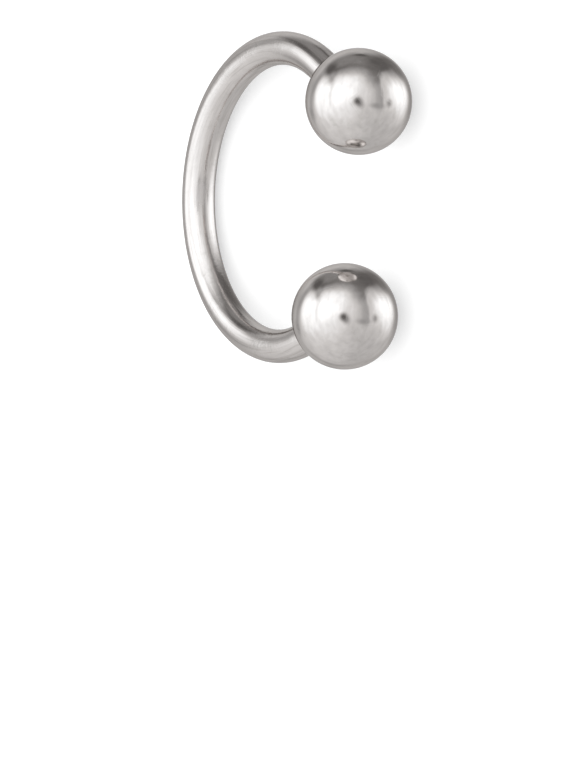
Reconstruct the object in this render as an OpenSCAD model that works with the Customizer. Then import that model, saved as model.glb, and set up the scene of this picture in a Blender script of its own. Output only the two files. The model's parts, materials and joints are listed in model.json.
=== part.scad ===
// Horseshoe barbell: a round steel bar bent to an open ring, with a ball screwed on each end.
// It lies as it rests by itself, on the two balls and the back of the bar, opening towards -Y.

/* [Bar] */
// Diameter of the round bar
bar_d = 1.6; // [1.2:0.1:2.4]
// Width inside the bent ring
inner_d = 12.6; // [10:0.1:18]
// Angle at the ring's centre from the middle of the opening to the end of the bend
opening_half_angle = 66; // [60:1:75]
// Straight shank between the end of the bend and the shoulder where the thread starts
shank_len = 1.55; // [1.2:0.05:3]

/* [Thread] */
// Distance from one crest of the thread to the next
thread_pitch = 0.35; // [0.25:0.05:0.4]
// Depth of the thread from crest to root
thread_depth = 0.19; // [0.1:0.01:0.25]
// Whole turns of thread on each end
thread_turns = 7; // [4:1:9]
// Share of the pitch that is flat on each crest
crest_share = 0.12; // [0.05:0.01:0.3]
// How far the crests lie inside the surface of the bar
crest_relief = 0.03; // [0.02:0.01:0.06]
// Plain tip beyond the last turn
tip_len = 0.2; // [0.1:0.05:0.4]
// Chamfer around the tip
tip_chamfer = 0.12; // [0.05:0.01:0.18]

/* [Balls] */
// Diameter of each ball
ball_d = 5; // [4.6:0.1:8]
// Depth of the seat in the ball that takes the end of the shank
seat_depth = 0.38; // [0.2:0.02:0.6]
// Chamfer around the mouth of the seat
mouth_chamfer = 0.06; // [0.02:0.01:0.15]
// Depth of the hole past the tip of the thread
hole_spare = 0.25; // [0.1:0.05:0.4]
// Angle of the drill point at the bottom of the hole
drill_angle = 118; // [90:1:140]

/* [Clearances] */
// Gap around the shank in the seat
seat_gap = 0.02; // [0.01:0.01:0.05]
// Gap around the crests of the thread in the hole
thread_gap = 0.02; // [0.01:0.01:0.05]
// Gap between the shoulder of the shank and the bottom of the seat
shoulder_gap = 0.02; // [0.01:0.01:0.05]

/* [Hidden] */
$fn = 96;

bar_r = bar_d / 2;
ball_r = ball_d / 2;
ring_r = inner_d / 2 + bar_r;
end_angle = opening_half_angle - 90;
bend_angle = 360 - 2 * opening_half_angle;

crest_r = bar_r - crest_relief;
root_r = crest_r - thread_depth;
thread_len = thread_turns * thread_pitch;
tip_at = shank_len + thread_len + tip_len;

// Along each end, measured from the end of the bend
seat_r = bar_r + seat_gap;
hole_r = crest_r + thread_gap;
seat_bottom_at = shank_len + shoulder_gap;
mouth_at = seat_bottom_at - seat_depth;
ball_at = mouth_at + sqrt(pow(ball_r, 2) - pow(seat_r, 2));
hole_bottom_at = tip_at + hole_spare;
drill_point = hole_r / tan(drill_angle / 2);

// How the part lies: the balls lift the opening until the back of the bar touches the table too
ball_ahead = ring_r * cos(opening_half_angle) + ball_at * sin(opening_half_angle);
rest_tilt = asin((ball_r - bar_r) / (ring_r + ball_ahead));
rest_lift = bar_r + ring_r * sin(rest_tilt);
back_reach = ring_r * cos(rest_tilt) + bar_r;
front_reach = ball_ahead * cos(rest_tilt) + ball_r;
rest_shift = (front_reach - back_reach) / 2;

steel = [0.78, 0.77, 0.76];

// Lays the ring down as it rests, with the origin under the middle of its box
module at_rest() {
    translate([0, rest_shift, rest_lift])
        rotate([-rest_tilt, 0, 0])
            children();
}

// Stands its children on the right end of the bend, with +Z out along the shank
module on_right_end() {
    rotate([0, 0, end_angle])
        translate([ring_r, 0, 0])
            rotate([90, 0, 0])
                children();
}

module on_left_end() {
    mirror([1, 0, 0])
        on_right_end()
            children();
}

module bend() {
    rotate([0, 0, end_angle])
        rotate_extrude(angle = bend_angle)
            translate([ring_r, 0])
                circle(r = bar_r);
}

// One end of the bar, turned about +Z: a cone sunk in the bend, so that both are one solid,
// then the shank, its shoulder, the thread and the tip
module threaded_end() {
    flank = thread_pitch * (1 - crest_share) / 2;
    ridges = [
        for (root_at = [for (turn = [0 : thread_turns - 1]) shank_len + turn * thread_pitch])
            each [
                [root_r, root_at],
                [crest_r, root_at + flank],
                [crest_r, root_at + thread_pitch - flank],
            ]
    ];
    outline = concat(
        [
            [0, -root_r],
            [root_r, 0],
            [bar_r, 0],
            [bar_r, shank_len - crest_relief],
            [crest_r, shank_len],
        ],
        ridges,
        [
            [root_r, shank_len + thread_len],
            [root_r, tip_at - tip_chamfer],
            [root_r - tip_chamfer, tip_at],
            [0, tip_at],
        ]
    );
    rotate_extrude()
        polygon(outline);
}

module bar() {
    color(steel)
        at_rest()
            union() {
                bend();
                on_right_end()
                    threaded_end();
                on_left_end()
                    threaded_end();
            }
}

// A ball on +Z, open towards the bend: the seat for the shank, then the hole for the thread
module ball() {
    difference() {
        translate([0, 0, ball_at])
            sphere(r = ball_r);
        translate([0, 0, mouth_at - ball_r])
            cylinder(r = seat_r, h = seat_bottom_at - mouth_at + ball_r);
        translate([0, 0, mouth_at - mouth_chamfer])
            cylinder(r1 = seat_r + 2 * mouth_chamfer, r2 = seat_r, h = 2 * mouth_chamfer);
        translate([0, 0, mouth_at])
            cylinder(r = hole_r, h = hole_bottom_at - mouth_at);
        translate([0, 0, hole_bottom_at])
            cylinder(r1 = hole_r, r2 = 0, h = drill_point);
    }
}

module left_ball() {
    color(steel)
        at_rest()
            on_left_end()
                ball();
}

module right_ball() {
    color(steel)
        at_rest()
            on_right_end()
                ball();
}

bar();
left_ball();
right_ball();
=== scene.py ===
import json
import math

import bpy
from mathutils import Matrix, Vector


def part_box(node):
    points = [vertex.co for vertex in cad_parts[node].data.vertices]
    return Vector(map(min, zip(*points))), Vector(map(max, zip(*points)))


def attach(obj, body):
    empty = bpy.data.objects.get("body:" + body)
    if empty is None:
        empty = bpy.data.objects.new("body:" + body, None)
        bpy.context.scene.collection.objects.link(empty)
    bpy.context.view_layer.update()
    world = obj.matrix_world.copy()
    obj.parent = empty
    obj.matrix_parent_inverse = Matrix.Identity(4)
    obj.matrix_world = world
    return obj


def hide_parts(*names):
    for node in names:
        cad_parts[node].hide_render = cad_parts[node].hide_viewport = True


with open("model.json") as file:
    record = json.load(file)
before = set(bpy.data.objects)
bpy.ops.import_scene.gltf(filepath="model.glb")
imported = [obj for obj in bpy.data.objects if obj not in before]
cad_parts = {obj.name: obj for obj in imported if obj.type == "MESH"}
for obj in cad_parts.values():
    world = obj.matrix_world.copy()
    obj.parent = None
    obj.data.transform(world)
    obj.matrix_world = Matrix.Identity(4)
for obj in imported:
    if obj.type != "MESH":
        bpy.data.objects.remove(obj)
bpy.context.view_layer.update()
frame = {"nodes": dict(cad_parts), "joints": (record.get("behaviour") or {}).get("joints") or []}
mm = 0.001

print("frame loaded:", ", ".join(sorted(frame["nodes"])))


# Small helpers for node trees

def link(tree, value, socket):  # a socket is joined, anything else becomes the socket's own value
    if isinstance(value, bpy.types.NodeSocket):
        tree.links.new(value, socket)
    else:
        socket.default_value = value


def addNode(tree, kind, inputs=(), **settings):
    made = tree.nodes.new(kind)
    for name, value in settings.items():
        setattr(made, name, value)
    for name, value in dict(inputs).items():
        link(tree, value, made.inputs[name])
    return made


def calc(tree, operation, *values):
    return addNode(tree, "ShaderNodeMath", enumerate(values), operation=operation).outputs[0]


def ramp(tree, value, fromLow, fromHigh, toLow=0.0, toHigh=1.0, kind="SMOOTHSTEP"):
    inputs = {"Value": value, "From Min": fromLow, "From Max": fromHigh, "To Min": toLow, "To Max": toHigh}
    return addNode(tree, "ShaderNodeMapRange", inputs, interpolation_type=kind).outputs["Result"]


def hypotenuse(tree, first, second):
    squares = [calc(tree, "MULTIPLY", side, side) for side in (first, second)]
    return calc(tree, "SQRT", calc(tree, "ADD", *squares))


def joinXyz(tree, x=0.0, y=0.0, z=0.0):
    return addNode(tree, "ShaderNodeCombineXYZ", {"X": x, "Y": y, "Z": z}).outputs[0]


def splitXyz(tree, vector):
    return addNode(tree, "ShaderNodeSeparateXYZ", {"Vector": vector}).outputs


def dot(tree, first, second):
    made = addNode(tree, "ShaderNodeVectorMath", {0: first, 1: second}, operation="DOT_PRODUCT")
    return made.outputs["Value"]


def noise(tree, place, pattern):
    return addNode(tree, "ShaderNodeTexNoise", {"Vector": place, **pattern}).outputs["Fac"]


def mixNumber(tree, share, first, second):
    return addNode(tree, "ShaderNodeMix", {0: share, 2: first, 3: second}).outputs[0]


def mixColour(tree, share, first, second):
    return addNode(tree, "ShaderNodeMix", {0: share, 6: first, 7: second}, data_type="RGBA").outputs[2]


# Sizes of the barbell, given here, and where it lies, read from the frame

barbell = {
    "barWidth": 1.6 * mm,
    "insideWidth": 12.6 * mm,
    "ballWidth": 5.0 * mm,
    "shankLength": 1.55 * mm,      # straight stretch from the bend to the shoulder
    "threadPitch": 0.35 * mm,
    "threadDepth": 0.19 * mm,
    "threadTurns": 7,
    "crestRelief": 0.03 * mm,      # how far the crests lie inside the bar's surface
    "tipLength": 0.2 * mm,
    "tipChamfer": 0.12 * mm,
    "seatDepth": 0.38 * mm,        # how far the shank's end goes into the ball
    "gap": 0.02 * mm,
    "mouthChamfer": 0.06 * mm,
    "holeSpare": 0.25 * mm,
    "drillAngle": math.radians(118),
}

screwWay = next(Vector(joint["axis"]) for joint in frame["joints"] if joint["child"] == "right_ball")
screwWay.normalize()
bendHalfAngle = math.pi - math.acos(abs(screwWay.x))
restTilt = math.atan2(screwWay.z, -screwWay.y)

barRadius = barbell["barWidth"] / 2
ballRadius = barbell["ballWidth"] / 2
ringRadius = barbell["insideWidth"] / 2 + barRadius
crestRadius = barRadius - barbell["crestRelief"]
rootRadius = crestRadius - barbell["threadDepth"]
threadLength = barbell["threadTurns"] * barbell["threadPitch"]

# along the bar, from the middle of the back
bendHalfLength = ringRadius * bendHalfAngle
shoulderAt = bendHalfLength + barbell["shankLength"]
threadEndAt = shoulderAt + threadLength

barLow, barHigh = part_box("bar")
ringCentre = Vector((
    (barLow.x + barHigh.x) / 2,
    barHigh.y - barRadius - ringRadius * math.cos(restTilt),
    barRadius + ringRadius * math.sin(restTilt),
))
restPlace = Matrix.Translation(ringCentre) @ Matrix.Rotation(-restTilt, 4, "X")


# Turning and bending: an outline of radius (x) and place along the axis (z) is spun round the axis,
# a screw thread is raised on one stretch, and the straight piece is then bent to a bow.

mergeDistance = 0.0002 * mm  # points nearer to each other than this become one


def makeTurningTree():
    tree = bpy.data.node_groups.new("turnAndBend", "GeometryNodeTree")
    face = tree.interface
    face.new_socket("Geometry", in_out="OUTPUT", socket_type="NodeSocketGeometry")
    for name, kind in (("Outline", "Geometry"), ("Sides", "Int"), ("Thread Start", "Float"),
                       ("Thread End", "Float"), ("Pitch", "Float"), ("Thread Depth", "Float"),
                       ("Crest Share", "Float"), ("Bend Radius", "Float"), ("Bend Half Length", "Float"),
                       ("Bent", "Bool"), ("Sharp Angle", "Float"), ("Finish", "Material")):
        face.new_socket(name, in_out="INPUT", socket_type="NodeSocket" + kind)
    given = tree.nodes.new("NodeGroupInput").outputs

    # one row for each point of the outline, one column for each side and one more to close the round
    size = addNode(tree, "GeometryNodeAttributeDomainSize", {"Geometry": given["Outline"]},
                   component="MESH")
    rows = size.outputs["Point Count"]
    columns = calc(tree, "ADD", given["Sides"], 1)
    grid = addNode(tree, "GeometryNodeMeshGrid",
                   {"Size X": 1.0, "Size Y": 1.0, "Vertices X": rows, "Vertices Y": columns})
    index = tree.nodes.new("GeometryNodeInputIndex").outputs[0]
    row = calc(tree, "FLOOR", calc(tree, "DIVIDE", calc(tree, "ADD", index, 0.5), columns))
    column = calc(tree, "SUBTRACT", index, calc(tree, "MULTIPLY", row, columns))
    share = calc(tree, "DIVIDE", column, given["Sides"])

    # what the outline says at each row
    place = tree.nodes.new("GeometryNodeInputPosition").outputs[0]
    outline = addNode(tree, "GeometryNodeSampleIndex",
                      {"Geometry": given["Outline"], "Value": place, "Index": row},
                      data_type="FLOAT_VECTOR", domain="POINT")
    outlineXyz = splitXyz(tree, outline.outputs[0])
    radius, along = outlineXyz["X"], outlineXyz["Z"]
    turned = addNode(tree, "GeometryNodeInputNamedAttribute", {"Name": "turned"}, data_type="FLOAT")
    turnedAt = addNode(tree, "GeometryNodeSampleIndex",
                       {"Geometry": given["Outline"], "Value": turned.outputs["Attribute"], "Index": row},
                       data_type="FLOAT", domain="POINT").outputs[0]

    # the thread is a right-hand helix, which rises and runs out over one pitch at each end
    phase = calc(tree, "FRACT", calc(tree, "SUBTRACT", calc(tree, "DIVIDE", along, given["Pitch"]), share))
    fromCrest = calc(tree, "ABSOLUTE", calc(tree, "SUBTRACT", calc(tree, "MULTIPLY", phase, 2.0), 1.0))
    fromRoot = calc(tree, "SUBTRACT", 1.0, fromCrest)
    ridge = ramp(tree, fromRoot, given["Crest Share"], calc(tree, "SUBTRACT", 1.0, given["Crest Share"]))
    reach = calc(tree, "ABSOLUTE", along)
    fullFrom = calc(tree, "ADD", given["Thread Start"], given["Pitch"])
    fullTo = calc(tree, "SUBTRACT", given["Thread End"], given["Pitch"])
    runIn = ramp(tree, reach, given["Thread Start"], fullFrom)
    runOut = ramp(tree, reach, given["Thread End"], fullTo)
    threaded = calc(tree, "MULTIPLY", calc(tree, "MULTIPLY", runIn, runOut), turnedAt)
    lift = calc(tree, "MULTIPLY", calc(tree, "MULTIPLY", ridge, given["Thread Depth"]), threaded)
    radius = calc(tree, "ADD", radius, lift)
    angle = calc(tree, "MULTIPLY", share, 2 * math.pi)
    outX = calc(tree, "MULTIPLY", radius, calc(tree, "COSINE", angle))
    outY = calc(tree, "MULTIPLY", radius, calc(tree, "SINE", angle))
    straight = joinXyz(tree, outX, outY, along)

    # the bend takes the middle stretch, and what lies past it stays straight
    bendEnd = given["Bend Half Length"]
    bendStart = calc(tree, "MULTIPLY", bendEnd, -1.0)
    bent = calc(tree, "MAXIMUM", calc(tree, "MINIMUM", along, bendEnd), bendStart)
    past = calc(tree, "SUBTRACT", along, bent)
    turn = calc(tree, "DIVIDE", bent, given["Bend Radius"])
    sine, cosine = calc(tree, "SINE", turn), calc(tree, "COSINE", turn)
    fromCentre = calc(tree, "ADD", given["Bend Radius"], outX)
    bowX = calc(tree, "ADD",
                calc(tree, "MULTIPLY", fromCentre, sine), calc(tree, "MULTIPLY", past, cosine))
    bowY = calc(tree, "SUBTRACT",
                calc(tree, "MULTIPLY", fromCentre, cosine), calc(tree, "MULTIPLY", past, sine))
    bow = joinXyz(tree, bowX, bowY, outY)
    chosen = addNode(tree, "GeometryNodeSwitch", {"Switch": given["Bent"], "False": straight, "True": bow},
                     input_type="VECTOR")

    # the wrap map runs round the piece in x and along it in y, in millimetres
    captured = addNode(tree, "GeometryNodeCaptureAttribute", domain="POINT")
    captured.capture_items.new("VECTOR", "wrap")
    link(tree, grid.outputs["Mesh"], captured.inputs["Geometry"])
    link(tree, joinXyz(tree, share, calc(tree, "DIVIDE", along, mm), 0.0), captured.inputs["wrap"])
    wrapped = addNode(tree, "GeometryNodeStoreNamedAttribute",
                      {"Geometry": captured.outputs["Geometry"], "Name": "wrap",
                       "Value": captured.outputs["wrap"]},
                      data_type="FLOAT2", domain="CORNER")
    marked = addNode(tree, "GeometryNodeStoreNamedAttribute",
                     {"Geometry": wrapped.outputs[0], "Name": "turned", "Value": turnedAt},
                     data_type="FLOAT", domain="POINT")
    placed = addNode(tree, "GeometryNodeSetPosition",
                     {"Geometry": marked.outputs[0], "Position": chosen.outputs[0]})

    # the seam and both poles are closed, and corners keep a crisp edge
    closed = addNode(tree, "GeometryNodeMergeByDistance",
                     {"Geometry": placed.outputs[0], "Distance": mergeDistance})
    smooth = addNode(tree, "GeometryNodeSetShadeSmooth",
                     {"Geometry": closed.outputs[0], "Shade Smooth": True}, domain="FACE")
    edgeAngle = tree.nodes.new("GeometryNodeInputMeshEdgeAngle").outputs["Unsigned Angle"]
    soft = calc(tree, "LESS_THAN", edgeAngle, given["Sharp Angle"])
    crisp = addNode(tree, "GeometryNodeSetShadeSmooth",
                    {"Geometry": smooth.outputs[0], "Shade Smooth": soft}, domain="EDGE")
    real = addNode(tree, "GeometryNodeRealizeInstances", {"Geometry": crisp.outputs[0]})
    finished = addNode(tree, "GeometryNodeSetMaterial",
                       {"Geometry": real.outputs[0], "Material": given["Finish"]})
    out = tree.nodes.new("NodeGroupOutput")
    link(tree, finished.outputs[0], out.inputs["Geometry"])
    return tree


turningTree = makeTurningTree()


def makeOutline(name, points):  # each point is (radius, along, 1 where a lathe tool left its marks)
    mesh = bpy.data.meshes.new(name)
    edges = [(n, n + 1) for n in range(len(points) - 1)]
    mesh.from_pydata([(radius, 0, along) for radius, along, _ in points], edges, [])
    turned = mesh.attributes.new("turned", "FLOAT", "POINT")
    turned.data.foreach_set("value", [mark for _, _, mark in points])
    return mesh


def turnPiece(name, points, place, sizes):
    rough = bpy.data.objects.new(name + "Outline", makeOutline(name + "Outline", points))
    bpy.context.scene.collection.objects.link(rough)
    modifier = rough.modifiers.new("turning", "NODES")
    modifier.node_group = turningTree
    for socket in turningTree.interface.items_tree:
        if socket.name in sizes:
            modifier[socket.identifier] = sizes[socket.name]
    rough.update_tag()
    graph = bpy.context.evaluated_depsgraph_get()
    mesh = bpy.data.meshes.new_from_object(rough.evaluated_get(graph))
    mesh.name = name
    mesh.transform(place)
    rough.modifiers.remove(modifier)
    bpy.data.objects.remove(rough)
    piece = bpy.data.objects.new(name, mesh)
    bpy.context.scene.collection.objects.link(piece)
    return piece


def stretch(first, last, steps):  # points from the first up to, but not with, the last
    return [tuple(a + (b - a) * n / steps for a, b in zip(first, last)) for n in range(steps)]


def corners(*points):  # a run of straight stretches, each (radius, along, turned, steps to the next)
    run = []
    for here, there in zip(points, points[1:]):
        run += stretch(here[:3], there[:3], here[3])
    return run + [points[-1][:3]]


# Steel: polished, with hairlines from handling, a faint haze, and tool marks where it was turned

steel = {
    "colour": (0.695, 0.661, 0.643, 1),
    "hazeColour": (0.62, 0.593, 0.570, 1),
    "streakColour": (0.585, 0.553, 0.533, 1),
    "turnedColour": (0.50, 0.48, 0.465, 1),
    "edgeTint": (0.64, 0.625, 0.615, 1),
    "barRoughness": 0.135,
    "ballRoughness": 0.085,
    "turnedRoughness": 0.26,
    "hazeRoughness": 0.07,         # added where handling has left a haze
    "hairlineRoughness": 0.06,     # added on a hairline
    "rubbedRoughness": 0.2,        # added on a spot of the bar that is worn dull
    "rubbedPlace": (0.41, -0.45),  # share of the way round, and millimetres along from the middle
    "rubbedHalf": (0.07, 0.65),
    "rubbedSoft": 0.5,
    "rippleDepth": 0.0022 * mm,    # slow waves left by the polishing wheel
    "hairlineDepth": 0.0009 * mm,
    "drawnDepth": 0.0034 * mm,     # of the fine lines that run along the bar
    "drawnStretch": 0.035,         # how fast they change along the bar, against 1 across it
    "pittingDepth": 0.008 * mm,    # of the fine pits that patches of the bar keep after polishing
    "toolMarkDepth": 0.004 * mm,
    "toolMarkPitch": 0.03,         # millimetres
    "toolMarkTurn": 0.6,           # how far a mark changes in one turn
}

patterns = {  # scales are for a millimetre
    "haze": {"Scale": 0.8, "Detail": 6.0, "Roughness": 0.62, "Distortion": 0.4},
    "smudge": {"Scale": 3.1, "Detail": 4.0, "Roughness": 0.55},
    "drawn": {"Scale": 9.0, "Detail": 5.0, "Roughness": 0.68},
    "ripple": {"Scale": 1.4, "Detail": 2.0, "Roughness": 0.4},
    "pitting": {"Scale": 8.0, "Detail": 3.0, "Roughness": 0.6},
    "toolMark": {"Scale": 1.0, "Detail": 2.0},
}

patternEdges = {  # where on its noise a pattern starts to show, and where it shows in full
    "haze": (0.42, 0.72),
    "smudge": (0.45, 0.7),
    "drawn": (0.46, 0.70),
}

hairlines = (  # spacing and width are millimetres, and share is how much of each line shows
    {"Way": (0.3, 0.2, 0.9), "Spacing": 0.42, "Width": 0.016, "Share": 0.12},
    {"Way": (1.1, 0.5, 2.3), "Spacing": 0.33, "Width": 0.012, "Share": 0.13},
    {"Way": (2.0, 1.4, 0.2), "Spacing": 0.55, "Width": 0.020, "Share": 0.10},
    {"Way": (0.6, 2.4, 1.5), "Spacing": 0.25, "Width": 0.010, "Share": 0.12},
    {"Way": (2.7, 0.9, 1.1), "Spacing": 0.70, "Width": 0.024, "Share": 0.09},
)

hairlineRun = {
    "bow": 1.5,                    # millimetres that a line wanders to the side
    "bowPattern": {"Scale": 0.3, "Detail": 1.0},
    "scatter": 0.7,                # share of its lane in which a line may lie
    "laneShift": 40.0,             # keeps the breaks of one lane away from those of the next
    "laneStep": 3.7,
    "breakPattern": {"Scale": 0.8, "Detail": 1.0},
    "breakEdges": (0.68, 0.70),
}


def makeHairlineGroup():  # long, thin scratches that lie one way, 1 on a scratch and 0 off it
    tree = bpy.data.node_groups.new("hairlines", "ShaderNodeTree")
    for name, kind in (("Place", "Vector"), ("Way", "Vector"), ("Spacing", "Float"), ("Width", "Float"),
                       ("Share", "Float")):
        tree.interface.new_socket(name, in_out="INPUT", socket_type="NodeSocket" + kind)
    tree.interface.new_socket("Scratch", in_out="OUTPUT", socket_type="NodeSocketFloat")
    given = tree.nodes.new("NodeGroupInput").outputs
    facing = addNode(tree, "ShaderNodeMapping",
                     {"Vector": given["Place"], "Rotation": given["Way"]}).outputs[0]
    parts = splitXyz(tree, facing)

    # the surface is cut into lanes, with one line somewhere in each
    bow = noise(tree, facing, hairlineRun["bowPattern"])
    across = calc(tree, "MULTIPLY_ADD", bow, hairlineRun["bow"], parts["Y"])
    across = calc(tree, "DIVIDE", across, given["Spacing"])
    lane = calc(tree, "FLOOR", across)
    chance = addNode(tree, "ShaderNodeTexWhiteNoise", {"W": lane}, noise_dimensions="1D").outputs["Value"]
    scatter = hairlineRun["scatter"]
    middle = calc(tree, "MULTIPLY_ADD", chance, scatter, (1 - scatter) / 2)
    aside = calc(tree, "ABSOLUTE", calc(tree, "SUBTRACT", calc(tree, "SUBTRACT", across, lane), middle))
    thin = ramp(tree, calc(tree, "MULTIPLY", aside, given["Spacing"]), 0.0, given["Width"], 1.0, 0.0)

    # a line shows in stretches
    shifted = calc(tree, "MULTIPLY_ADD", chance, hairlineRun["laneShift"], parts["X"])
    run = joinXyz(tree, shifted, parts["Z"], calc(tree, "MULTIPLY", lane, hairlineRun["laneStep"]))
    breaks = noise(tree, run, hairlineRun["breakPattern"])
    hidden, full = hairlineRun["breakEdges"]
    shown = ramp(tree, breaks, calc(tree, "SUBTRACT", hidden, given["Share"]), full)
    out = tree.nodes.new("NodeGroupOutput")
    link(tree, calc(tree, "MULTIPLY", thin, shown), out.inputs["Scratch"])
    return tree


hairlineGroup = makeHairlineGroup()


def makeSteel(name, roughness, drawn):  # drawn is 1 where the steel shows that it was drawn as wire, or 0
    material = bpy.data.materials.new(name)
    material.use_nodes = True
    tree = material.node_tree
    shader = tree.nodes["Principled BSDF"]
    shader.inputs["Specular Tint"].default_value = steel["edgeTint"]
    shader.inputs["Metallic"].default_value = 1
    coords = tree.nodes.new("ShaderNodeTexCoord").outputs["Object"]
    place = addNode(tree, "ShaderNodeVectorMath", {0: coords, "Scale": 1 / mm},
                    operation="SCALE").outputs[0]  # in millimetres from here on
    wrap = splitXyz(tree, addNode(tree, "ShaderNodeUVMap", uv_map="wrap").outputs[0])
    turned = addNode(tree, "ShaderNodeAttribute", attribute_name="turned").outputs["Fac"]

    hazy = ramp(tree, noise(tree, place, patterns["haze"]), *patternEdges["haze"])
    smudge = noise(tree, place, patterns["smudge"])
    smudged = calc(tree, "MULTIPLY", ramp(tree, smudge, *patternEdges["smudge"]), hazy)

    scratched = 0.0
    for hairline in hairlines:
        one = addNode(tree, "ShaderNodeGroup", {"Place": place, **hairline}, node_tree=hairlineGroup)
        scratched = calc(tree, "MAXIMUM", scratched, one.outputs["Scratch"])

    # lines drawn along the bar: fine across it, long along it, and closed round it
    angle = calc(tree, "MULTIPLY", wrap["X"], 2 * math.pi)
    barPlace = joinXyz(tree, calc(tree, "MULTIPLY", calc(tree, "COSINE", angle), barRadius / mm),
                       calc(tree, "MULTIPLY", calc(tree, "SINE", angle), barRadius / mm),
                       calc(tree, "MULTIPLY", wrap["Y"], steel["drawnStretch"]))
    lines = noise(tree, barPlace, patterns["drawn"])
    streaks = ramp(tree, lines, *patternEdges["drawn"], 0.0, drawn)
    ripple = noise(tree, place, patterns["ripple"])
    pitting = calc(tree, "MULTIPLY", noise(tree, place, patterns["pitting"]), hazy)
    cutPlace = joinXyz(tree, calc(tree, "MULTIPLY", wrap["X"], steel["toolMarkTurn"]), 0.0,
                       calc(tree, "DIVIDE", wrap["Y"], steel["toolMarkPitch"]))
    toolMarks = calc(tree, "MULTIPLY", noise(tree, cutPlace, patterns["toolMark"]), turned)

    # a spot where the bar is rubbed dull
    rubbed = drawn
    soft = steel["rubbedSoft"]
    for way, middle, half in zip("XY", steel["rubbedPlace"], steel["rubbedHalf"]):
        aside = calc(tree, "ABSOLUTE", calc(tree, "SUBTRACT", wrap[way], middle))
        inside = ramp(tree, aside, half * (1 - soft), half * (1 + soft), 1.0, 0.0)
        rubbed = calc(tree, "MULTIPLY", rubbed, inside)

    colour = mixColour(tree, smudged, steel["colour"], steel["hazeColour"])
    colour = mixColour(tree, streaks, colour, steel["streakColour"])
    colour = mixColour(tree, turned, colour, steel["turnedColour"])
    link(tree, colour, shader.inputs["Base Color"])

    rough = calc(tree, "MULTIPLY_ADD", hazy, steel["hazeRoughness"], roughness)
    rough = calc(tree, "MULTIPLY_ADD", scratched, steel["hairlineRoughness"], rough)
    rough = calc(tree, "MULTIPLY_ADD", rubbed, steel["rubbedRoughness"], rough)
    rough = mixNumber(tree, turned, rough, steel["turnedRoughness"])
    link(tree, rough, shader.inputs["Roughness"])

    relief = calc(tree, "MULTIPLY", ripple, steel["rippleDepth"])
    for pattern, depth in ((scratched, -steel["hairlineDepth"]), (lines, drawn * steel["drawnDepth"]),
                           (pitting, drawn * steel["pittingDepth"]), (toolMarks, steel["toolMarkDepth"])):
        relief = calc(tree, "MULTIPLY_ADD", pattern, depth, relief)
    bump = addNode(tree, "ShaderNodeBump", {"Height": relief, "Distance": 1.0, "Strength": 1.0})
    link(tree, bump.outputs[0], shader.inputs["Normal"])
    return material


barSteel = makeSteel("drawnBarSteel", steel["barRoughness"], 1.0)
ballSteel = makeSteel("polishedBallSteel", steel["ballRoughness"], 0.0)
print("steel finished")

# The bar, tip to tip

barBuild = {
    "sides": 96,
    "bendSteps": 300,
    "shankSteps": 10,
    "stepsPerTurn": 22,
    "crestShare": 0.12,
    "sharpAngle": math.radians(35),
}


def barOutline():
    tip = threadEndAt + barbell["tipLength"]
    relief, chamfer = barbell["crestRelief"], barbell["tipChamfer"]
    threadSteps = barBuild["stepsPerTurn"] * barbell["threadTurns"]
    half = corners(
        (0, tip, 1, 6),
        (rootRadius - chamfer, tip, 1, 3),
        (rootRadius, tip - chamfer, 1, 3),
        (rootRadius, threadEndAt, 1, threadSteps),
        (rootRadius, shoulderAt, 1, 4),
        (crestRadius, shoulderAt, 1, 2),
        (barRadius, shoulderAt - relief, 0, barBuild["shankSteps"]),
        (barRadius, bendHalfLength, 0, 1),
    )
    bendEnds = (barRadius, bendHalfLength, 0), (barRadius, -bendHalfLength, 0)
    middle = stretch(*bendEnds, barBuild["bendSteps"])[1:]
    other = [(radius, -along, mark) for radius, along, mark in reversed(half)]
    return half + middle + other


barPiece = turnPiece("bent_bar", barOutline(), restPlace, {
    "Sides": barBuild["sides"],
    "Thread Start": shoulderAt,
    "Thread End": threadEndAt,
    "Pitch": barbell["threadPitch"],
    "Thread Depth": barbell["threadDepth"],
    "Crest Share": barBuild["crestShare"],
    "Bend Radius": ringRadius,
    "Bend Half Length": bendHalfLength,
    "Bent": True,
    "Sharp Angle": barBuild["sharpAngle"],
    "Finish": barSteel,
})
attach(barPiece, "bar")
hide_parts("bar")
print("bar turned and bent:", len(barPiece.data.polygons), "faces")

# The balls

ballBuild = {
    "sides": 160,
    "roundSteps": 110,
    "stepsPerTurn": 18,
    "grooveDepth": 0.06 * mm,
    "crestShare": 0.2,
    "sharpAngle": math.radians(35),
}

seatBottom = barbell["shankLength"] + barbell["gap"]
holeBottom = barbell["shankLength"] + threadLength + barbell["tipLength"] + barbell["holeSpare"]


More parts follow.
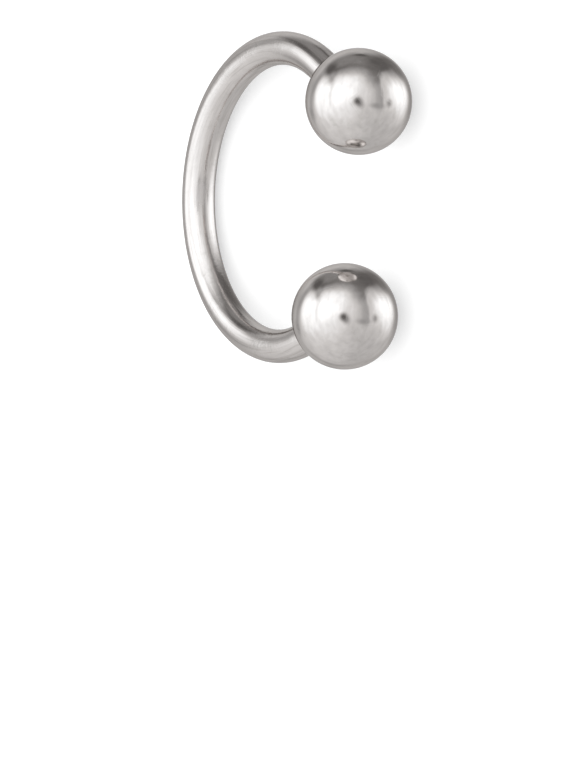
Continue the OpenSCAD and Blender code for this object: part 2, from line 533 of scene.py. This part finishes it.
def ballOutline():  # along the shank, from the end of the bend
    seatRadius = barRadius + barbell["gap"]
    holeRadius = crestRadius + barbell["gap"]
    chamfer = barbell["mouthChamfer"]
    mouth = seatBottom - barbell["seatDepth"]
    centre = mouth + math.sqrt(ballRadius ** 2 - seatRadius ** 2)
    # the chamfer is a cone of 45 degrees, and its lip lies where it meets the ball
    coneTip = mouth + chamfer + seatRadius
    both = coneTip + centre
    lip = (both - math.sqrt(2 * ballRadius ** 2 - (coneTip - centre) ** 2)) / 2
    lipRadius = coneTip - lip
    lipAngle = math.pi - math.asin(lipRadius / ballRadius)
    ball = []
    for n in range(ballBuild["roundSteps"]):
        angle = lipAngle * n / ballBuild["roundSteps"]
        ball.append((ballRadius * math.sin(angle), centre + ballRadius * math.cos(angle), 0))
    turnSteps = math.ceil((holeBottom - seatBottom) / barbell["threadPitch"] * ballBuild["stepsPerTurn"])
    inside = corners(
        (lipRadius, lip, 0, 2),
        (seatRadius, mouth + chamfer, 1, 4),
        (seatRadius, seatBottom, 1, 2),
        (holeRadius, seatBottom, 1, turnSteps),
        (holeRadius, holeBottom, 1, 4),
        (0, holeBottom + holeRadius / math.tan(barbell["drillAngle"] / 2), 1, 1),
    )
    return ball + inside


def shankPlace(side):  # 1 for the right end and -1 for the left, +Z out along the shank
    bendEnd = Matrix.Rotation(-bendHalfAngle, 4, "Z") @ Matrix.Translation((0, ringRadius, 0))
    outwards = Matrix.Rotation(math.pi / 2, 4, "Y")
    right = bendEnd @ outwards
    if side > 0:
        return restPlace @ right
    return restPlace @ Matrix.Rotation(math.pi, 4, "Y") @ right


def makeBall(name, node, side):
    piece = turnPiece(name, ballOutline(), shankPlace(side), {
        "Sides": ballBuild["sides"],
        "Thread Start": seatBottom,
        "Thread End": holeBottom,
        "Pitch": barbell["threadPitch"],
        "Thread Depth": ballBuild["grooveDepth"],
        "Crest Share": ballBuild["crestShare"],
        "Bend Radius": 1.0,
        "Bend Half Length": 0.0,
        "Bent": False,
        "Sharp Angle": ballBuild["sharpAngle"],
        "Finish": ballSteel,
    })
    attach(piece, node)
    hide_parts(node)
    print(name, "turned:", len(piece.data.polygons), "faces")


makeBall("ball_left", "left_ball", -1)
makeBall("ball_right", "right_ball", 1)

# Camera

cameraSetup = {
    "aim": Vector((-9.04, 0.84, 0)) * mm,  # the point of the floor in the middle of the picture
    "distance": 273.5 * mm,
    "azimuth": math.radians(7.5),          # from the front towards the right ball
    "elevation": math.radians(41.1),
    "roll": math.radians(91.3),            # the right ball is at the top of the picture
    "lens": 266.8,
    "sensorWidth": 36,
    "sees": (0.01, 10),                    # metres from the camera
}


def makeCamera():  # gives the ways right and up in the picture, and towards the lens
    data = bpy.data.cameras.new("camera")
    data.lens = cameraSetup["lens"]
    data.sensor_width = cameraSetup["sensorWidth"]
    data.clip_start, data.clip_end = cameraSetup["sees"]
    camera = bpy.data.objects.new("camera", data)
    azimuth, elevation, roll = cameraSetup["azimuth"], cameraSetup["elevation"], cameraSetup["roll"]
    level = Vector((math.cos(azimuth), math.sin(azimuth), 0))
    front = Vector((math.sin(azimuth), -math.cos(azimuth), 0))
    towards = Matrix.Rotation(-elevation, 3, level) @ front
    up = level * math.sin(roll) + towards.cross(level) * math.cos(roll)
    right = up.cross(towards)
    turned = Matrix((right, up, towards)).transposed().to_4x4()
    place = cameraSetup["aim"] + towards * cameraSetup["distance"]
    camera.matrix_world = Matrix.Translation(place) @ turned
    bpy.context.scene.collection.objects.link(camera)
    bpy.context.scene.camera = camera
    return right, up, towards


viewRight, viewUp, towardLens = makeCamera()
print("camera placed")

# The studio that the steel mirrors, a tent of white cloth with soft panels and gaps round the lens

studio = {
    "room": 0.49,          # how bright the walls are where no panel hangs
    "skylight": 1.34,      # soft even light that falls on the floor
    "folds": {"Scale": 5.0, "Detail": 5.0, "Roughness": 0.6, "Distortion": 0.5},
    "foldEdges": (0.2, 0.8),
    "foldDepth": 0.19,     # how much the folds of the tent's cloth shade it
    "foldDrop": 0.3,       # how fast they change up and down, against 1 sideways
    "tints": (             # dark corners are a little warmer than the cloth, and lights a little cooler
        ((1.035, 1.0, 0.985, 1), 0.45, 0.12),
        ((0.973, 1.0, 1.018, 1), 0.75, 1.35),
    ),
}

# side and height are degrees from the lens, to the right and up in the picture, half is half the width
# and height in degrees, turn is degrees, level is brightness, and cover is how much is hidden of what
# hangs behind. soft is a share of a round panel's size, or the degrees over which a square one fades at
# its left, right, bottom and top.
panels = {
    "tent": {"round": True, "side": -2, "height": -4, "half": (128, 128), "soft": 0.06, "level": 0.77},
    "lowTent": {"side": -8, "height": -45, "half": (88, 60), "soft": (14, 20, 12, 22), "level": 0.785},
    "backWall": {"round": True, "side": -176, "height": 32, "half": (33, 33), "soft": 0.8, "level": 0.81},
    "backLow": {"round": True, "side": 178, "height": -21, "half": (56, 19), "turn": 16, "soft": 0.5,
                "level": 0.73},
    "leftDark": {"round": True, "side": -121, "height": 20, "half": (9, 25), "turn": -8, "soft": 0.7,
                 "level": 0.45},
    "backRight": {"round": True, "side": 136, "height": 24, "half": (28, 25), "soft": 0.6, "level": 0.51},
    "backLeft": {"round": True, "side": -130, "height": -10, "half": (8, 7), "soft": 0.8, "level": 0.45},
    "mainGlow": {"round": True, "side": -42, "height": 7, "half": (51, 41), "turn": 28, "soft": 0.85,
                 "level": 1.32},
    "mainLight": {"round": True, "side": -40, "height": 19, "half": (30, 21), "turn": 44, "soft": 0.8,
                  "level": 1.66},
    "leftLight": {"side": -86, "height": 8, "half": (23, 21), "turn": -4, "soft": (8, 8, 26, 9),
                  "level": 1.58},
    "rightLight": {"side": 102, "height": 8, "half": (27, 19), "turn": -16, "soft": (20, 14, 26, 12),
                   "level": 1.75},
    "farCorner": {"round": True, "side": 144, "height": 32, "half": (16, 12), "turn": -12, "soft": 0.5,
                  "level": 0.3},
    "openTop": {"side": 6, "height": 95, "half": (40, 30), "turn": -18, "soft": (15, 3, 16, 15),
                "level": 0.3},
    "frontEdge": {"side": 0, "height": 82, "half": (42, 4), "turn": -10, "soft": (8, 8, 7, 6),
                  "level": 0.19, "cover": 0.8},
    "topSlot": {"round": True, "side": 174, "height": 63, "half": (8, 5), "soft": 0.7, "level": 0.12},
    "rightFold": {"side": 46, "height": 46, "half": (11, 18), "turn": -18, "soft": (18, 4, 14, 12),
                  "level": 0.26},
    "rightCorner": {"round": True, "side": 120, "height": 57, "half": (28, 18), "turn": -32, "soft": 0.6,
                    "level": 0.15},
    "leftCorner": {"round": True, "side": -107, "height": 49, "half": (20, 10), "turn": 6, "soft": 0.6,
                   "level": 0.14},
    "lowRight": {"round": True, "side": 70, "height": -45, "half": (54, 29), "soft": 0.9, "level": 0.62,
                 "cover": 0.4},
    "lowBehind": {"round": True, "side": 114, "height": -66, "half": (34, 22), "soft": 0.8, "level": 0.52,
                  "cover": 0.6},
    "leftFold": {"round": True, "side": -79, "height": 40, "half": (10, 5), "turn": -50, "soft": 0.9,
                 "level": 0.48},
    "tentSeam": {"side": -65, "height": 18, "half": (1.5, 28), "soft": (4, 4, 10, 10), "level": 0.9,
                 "cover": 0.6},
    "rightGap": {"side": 45, "height": 8, "half": (8, 26), "soft": (18, 4, 14, 14), "level": 0.39,
                 "cover": 0.9},
    "rightSeam": {"side": 115, "height": 14, "half": (1.5, 22), "turn": -8, "soft": (4, 4, 10, 10),
                  "level": 0.9, "cover": 0.5},
    "underLens": {"round": True, "side": 3, "height": -10, "half": (7, 7), "soft": 0.9, "level": 0.48},
    "lens": {"round": True, "side": -3, "height": -2, "half": (8, 8), "soft": 0.8, "level": 0.14},
    "nearStand": {"round": True, "side": 41, "height": -11, "half": (14, 5), "soft": 0.8, "level": 0.42},
    "farStand": {"round": True, "side": 69, "height": -4, "half": (6, 6), "soft": 0.9, "level": 0.42},
}

panelAxisNames = ("Across", "Upwards", "Outwards")
softEdgeNames = {True: ("Soft",), False: ("Soft Left", "Soft Right", "Soft Bottom", "Soft Top")}
nearlyNothing = 0.00001    # stands in for 0 where a number is divided by it


def panelAxes(panel):  # across, up and outwards, as seen from the barbell
    side, height = math.radians(panel["side"]), math.radians(panel["height"])
    turn = math.radians(panel.get("turn", 0))
    level = viewRight * math.sin(side) + towardLens * math.cos(side)
    outwards = level * math.cos(height) + viewUp * math.sin(height)
    across = viewRight * math.cos(side) - towardLens * math.sin(side)
    upwards = outwards.cross(across)
    return (across * math.cos(turn) + upwards * math.sin(turn),
            upwards * math.cos(turn) - across * math.sin(turn), outwards)


def panelInputs(panel, isRound):
    halfWidth, halfHeight = panel["half"]
    inputs = dict(zip(panelAxisNames, panelAxes(panel)))
    inputs["Half Width"] = math.radians(halfWidth)
    inputs["Half Height"] = math.radians(halfHeight)
    softEdges = [panel["soft"]] if isRound else [math.radians(angle) for angle in panel["soft"]]
    inputs.update(zip(softEdgeNames[isRound], softEdges))
    return inputs


def makePanelGroup(name, isRound):  # gives 1 on the panel and 0 off it, with soft edges
    tree = bpy.data.node_groups.new(name, "ShaderNodeTree")
    for label in ("Way", *panelAxisNames):
        tree.interface.new_socket(label, in_out="INPUT", socket_type="NodeSocketVector")
    for label in ("Half Width", "Half Height", *softEdgeNames[isRound]):
        tree.interface.new_socket(label, in_out="INPUT", socket_type="NodeSocketFloat")
    tree.interface.new_socket("Mask", in_out="OUTPUT", socket_type="NodeSocketFloat")
    given = tree.nodes.new("NodeGroupInput").outputs
    across, upwards, outwards = (dot(tree, given["Way"], given[axis]) for axis in panelAxisNames)
    if isRound:
        aside = calc(tree, "MAXIMUM", hypotenuse(tree, across, upwards), nearlyNothing)
        angle = calc(tree, "ARCTAN2", aside, outwards)
        shares = [calc(tree, "DIVIDE", calc(tree, "DIVIDE", way, aside), given[half])
                  for way, half in ((across, "Half Width"), (upwards, "Half Height"))]
        reach = calc(tree, "MULTIPLY", angle, hypotenuse(tree, *shares))
        mask = ramp(tree, reach, calc(tree, "SUBTRACT", 1.0, given["Soft"]),
                    calc(tree, "ADD", 1.0, given["Soft"]), 1.0, 0.0)
    else:
        mask = calc(tree, "GREATER_THAN", outwards, 0.0)
        for way, half, low, high in ((across, "Half Width", "Soft Left", "Soft Right"),
                                     (upwards, "Half Height", "Soft Bottom", "Soft Top")):
            angle = calc(tree, "ARCTAN2", way, outwards)
            for facing, soft in ((-1.0, low), (1.0, high)):
                past = calc(tree, "SUBTRACT", calc(tree, "MULTIPLY", angle, facing), given[half])
                edge = ramp(tree, past, calc(tree, "MULTIPLY", given[soft], -1.0), given[soft], 1.0, 0.0)
                mask = calc(tree, "MULTIPLY", mask, edge)
    out = tree.nodes.new("NodeGroupOutput")
    link(tree, mask, out.inputs["Mask"])
    return tree


def makeStudio():
    world = bpy.data.worlds.new("studio")
    bpy.context.scene.world = world
    world.use_nodes = True
    world.cycles.sampling_method = "NONE"  # the light is so soft that the rays find it by themselves
    tree = world.node_tree
    tree.nodes.clear()
    way = tree.nodes.new("ShaderNodeTexCoord").outputs["Generated"]
    groups = {True: makePanelGroup("roundPanel", True), False: makePanelGroup("squarePanel", False)}
    level = studio["room"]
    for name, panel in panels.items():
        isRound = panel.get("round", False)
        card = addNode(tree, "ShaderNodeGroup", {"Way": way, **panelInputs(panel, isRound)},
                       node_tree=groups[isRound], label=name)
        cover = calc(tree, "MULTIPLY", card.outputs["Mask"], panel.get("cover", 1.0))
        level = mixNumber(tree, cover, level, panel["level"])

    # the cloth hangs in upright folds
    across, upwards, towards = (dot(tree, way, axis) for axis in (viewRight, viewUp, towardLens))
    hung = joinXyz(tree, across, calc(tree, "MULTIPLY", upwards, studio["foldDrop"]), towards)
    shading = ramp(tree, noise(tree, hung, studio["folds"]), *studio["foldEdges"],
                   1 - studio["foldDepth"], 1 + studio["foldDepth"], kind="LINEAR")
    level = calc(tree, "MULTIPLY", level, shading)

    white = (1, 1, 1, 1)
    colour = white
    for tint, start, full in studio["tints"]:
        colour = mixColour(tree, ramp(tree, level, start, full), colour, tint)
    mirrored = addNode(tree, "ShaderNodeBackground", {"Color": colour, "Strength": level})
    even = addNode(tree, "ShaderNodeBackground", {"Color": white, "Strength": studio["skylight"]})
    rays = tree.nodes.new("ShaderNodeLightPath").outputs
    lit = addNode(tree, "ShaderNodeMixShader",
                  {0: rays["Is Glossy Ray"], 1: even.outputs[0], 2: mirrored.outputs[0]})
    out = tree.nodes.new("ShaderNodeOutputWorld")
    link(tree, lit.outputs[0], out.inputs["Surface"])


makeStudio()
print("studio lit:", len(panels), "panels")

# Floor

floorSetup = {
    "size": 4.0,
    "colour": (0.6, 0.6, 0.6, 1),
    "glow": 0.56,          # keeps the shadows light
    "glowColour": (1, 1, 1, 1),
}


def makeFloor():
    half = floorSetup["size"] / 2
    outline = [(-half, -half, 0), (half, -half, 0), (half, half, 0), (-half, half, 0)]
    mesh = bpy.data.meshes.new("floor")
    mesh.from_pydata(outline, [], [(0, 1, 2, 3)])
    floor = bpy.data.objects.new("floor", mesh)
    bpy.context.scene.collection.objects.link(floor)
    material = bpy.data.materials.new("paleFloor")
    material.use_nodes = True
    shader = material.node_tree.nodes["Principled BSDF"]
    for name, value in (("Base Color", floorSetup["colour"]), ("Roughness", 1), ("Specular IOR Level", 0),
                        ("Emission Color", floorSetup["glowColour"]),
                        ("Emission Strength", floorSetup["glow"])):
        shader.inputs[name].default_value = value
    mesh.materials.append(material)
    floor.visible_glossy = False


makeFloor()
print("floor laid")

bpy.context.scene.view_settings.view_transform = "Standard"
bpy.context.scene.cycles.caustics_reflective = False
